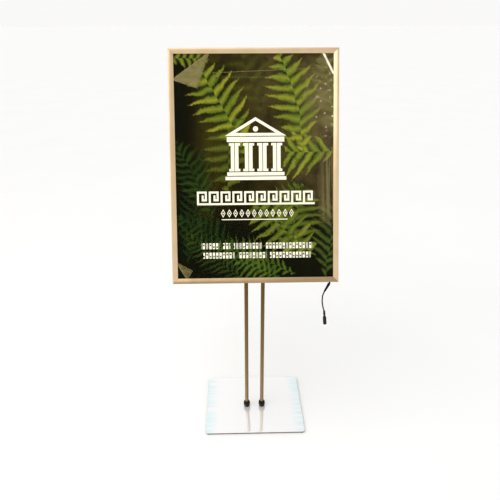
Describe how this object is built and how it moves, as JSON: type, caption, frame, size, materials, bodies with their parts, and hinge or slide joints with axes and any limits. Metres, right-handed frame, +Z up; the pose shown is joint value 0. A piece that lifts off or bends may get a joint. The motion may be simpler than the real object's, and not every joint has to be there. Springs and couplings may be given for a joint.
{
  "type": "sign stand",
  "caption": "Floor-standing poster light box in a snap-open frame, tilting on twin slim poles over a flat rectangular base, with a short hanging power lead.",
  "frame": {"origin": "middle of the underside of the base, on the floor", "axes": "+Z up, front of the poster towards -Y, +X to the viewer's right"},
  "size_m": [0.62, 0.365, 1.5261],
  "materials": {
    "rubber_mat": "matt black sheet rubber",
    "base_steel": "bright polished stainless steel with fine hairlines",
    "pole_steel": "polished stainless tube",
    "collar_metal": "dark polished metal",
    "fastener_steel": "zinc-plated steel",
    "black_paint": "fine-textured black powder coat",
    "fibre": "brown friction fibre",
    "black_plastic": "moulded black plastic",
    "brass": "turned brass",
    "sheet_aluminium": "mill-finish sheet",
    "frame_aluminium": "satin champagne anodised",
    "rail_aluminium": "satin champagne anodised",
    "white_foam": "closed-cell foam",
    "white_plastic": "matt white sheet",
    "clear_acrylic": "clear cast sheet with an engraved dot grid",
    "led_board": "white circuit board with yellow light-emitting diodes",
    "wire_plastic": "insulated wire",
    "poster_print": "satin printed sheet",
    "clear_film": "clear glossy film",
    "black_rubber": "soft black cable jacket"
  },
  "bodies": {
    "stand": {"base_mat": "rubber_mat", "base_plate": "base_steel", "pole_bolts": "fastener_steel", "pole_foot_plugs": "fastener_steel", "left_collar": "collar_metal", "right_collar": "collar_metal", "left_pole": "pole_steel", "right_pole": "pole_steel", "pole_head": "black_paint", "head_grub_screws": "fastener_steel", "pivot_bolt": "fastener_steel", "friction_washers": "fibre", "knob_washer": "fastener_steel"},
    "knob": {"tilt_knob": "black_plastic", "knob_insert": "brass"},
    "light_box": {"tilt_bracket": "black_paint", "bracket_screws": "fastener_steel", "bracket_backing": "sheet_aluminium", "back_panel": "sheet_aluminium", "frame_bottom": "frame_aluminium", "frame_right": "frame_aluminium", "frame_top": "frame_aluminium", "frame_left": "frame_aluminium", "corner_keys": "sheet_aluminium", "foam_pads": "white_foam", "reflector_sheet": "white_plastic", "light_guide": "clear_acrylic", "left_led_strip": "led_board", "right_led_strip": "led_board", "led_wires": "wire_plastic", "diffuser": "white_plastic", "poster": "poster_print", "cover_film": "clear_film", "snap_springs": "fastener_steel", "lead_grommet": "black_rubber"},
    "bottom_rail": {"rail_bottom": "rail_aluminium"},
    "right_rail": {"rail_right": "rail_aluminium"},
    "top_rail": {"rail_top": "rail_aluminium"},
    "left_rail": {"rail_left": "rail_aluminium"},
    "lead": {"lead_boot": "black_rubber", "dc_lead": "black_rubber", "dc_socket_body": "black_plastic", "dc_socket_contact": "fastener_steel"}
  },
  "joints": [
    {"name": "panel_tilt", "type": "hinge", "parent": "stand", "child": "light_box", "pos_m": [0, -0.014, 0.965], "axis": [-1, 0, 0], "range_deg": [-20, 55]},
    {"name": "knob_turn", "type": "hinge", "parent": "stand", "child": "knob", "pos_m": [0.03, -0.014, 0.965], "axis": [1, 0, 0], "range_deg": [0, 270]},
    {"name": "bottom_rail_open", "type": "hinge", "parent": "light_box", "child": "bottom_rail", "pos_m": [0, -0.15282, 0.72394], "axis": [1, 0, 0], "range_deg": [0, 90]},
    {"name": "right_rail_open", "type": "hinge", "parent": "light_box", "child": "right_rail", "pos_m": [0.3065, -0.0078, 1.12237], "axis": [0, 0.342, 0.9397], "range_deg": [0, 90]},
    {"name": "top_rail_open", "type": "hinge", "parent": "light_box", "child": "top_rail", "pos_m": [0, 0.13721, 1.5208], "axis": [-1, 0, 0], "range_deg": [0, 90]},
    {"name": "left_rail_open", "type": "hinge", "parent": "light_box", "child": "left_rail", "pos_m": [-0.3065, -0.0078, 1.12237], "axis": [0, -0.342, -0.9397], "range_deg": [0, 90]},
    {"name": "lead_swing", "type": "hinge", "parent": "light_box", "child": "lead", "pos_m": [0.279, -0.14763, 0.71247], "axis": [-1, 0, 0], "range_deg": [-55, 20]}
  ],
  "couplings": [
    {"joint": "lead_swing", "follows": "panel_tilt", "ratio": -1}
  ]
}
